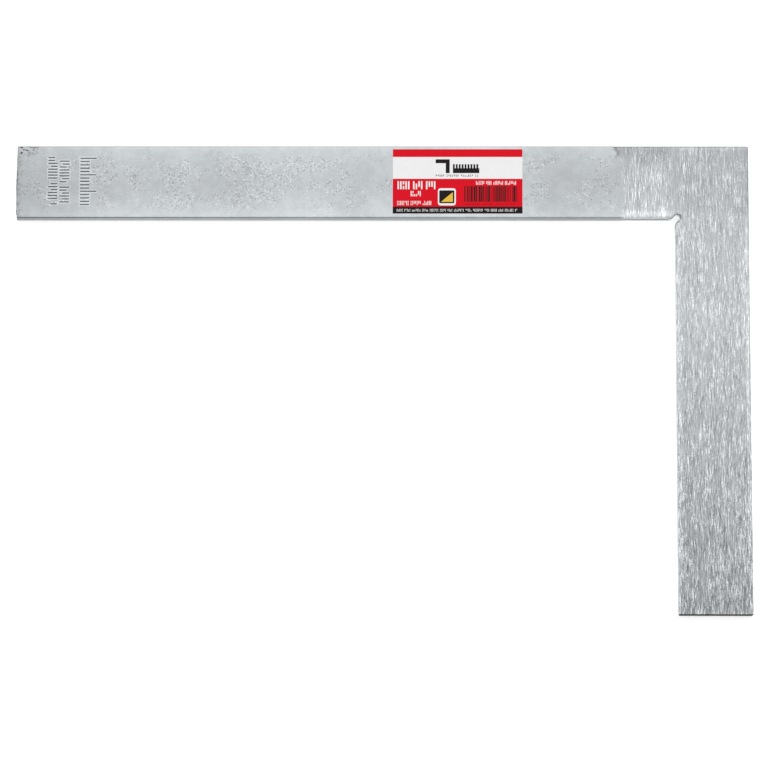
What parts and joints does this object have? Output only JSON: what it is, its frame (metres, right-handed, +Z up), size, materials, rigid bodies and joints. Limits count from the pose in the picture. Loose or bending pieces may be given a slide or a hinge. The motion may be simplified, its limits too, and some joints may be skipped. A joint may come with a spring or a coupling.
{
  "type": "flat try square",
  "caption": "Flat steel square: long and short limb of flat bar, butt welded at a right angle and ground flush, with a relief in the inner corner and a printed label.",
  "frame": {"origin": "centre of the outer size of the square, on the back face that it lies on", "axes": "+X along the long limb towards the outer corner, +Y along the short limb towards the outer corner, +Z up through the thickness, out of the front face with the label"},
  "size_m": [0.25, 0.16, 0.0051],
  "materials": {
    "galvanised_steel": "matt zinc coating with fine pits and soft mottling",
    "ground_steel": "coarse straight grinding streaks under a thin zinc coating",
    "weld_metal": "ground flush with the limbs",
    "label_film": "satin printed film in red, white and black"
  },
  "bodies": {
    "root": {"long_limb": "galvanised_steel", "short_limb": "ground_steel", "weld_front": "weld_metal", "weld_back": "weld_metal", "label": "label_film"}
  },
  "joints": []
}
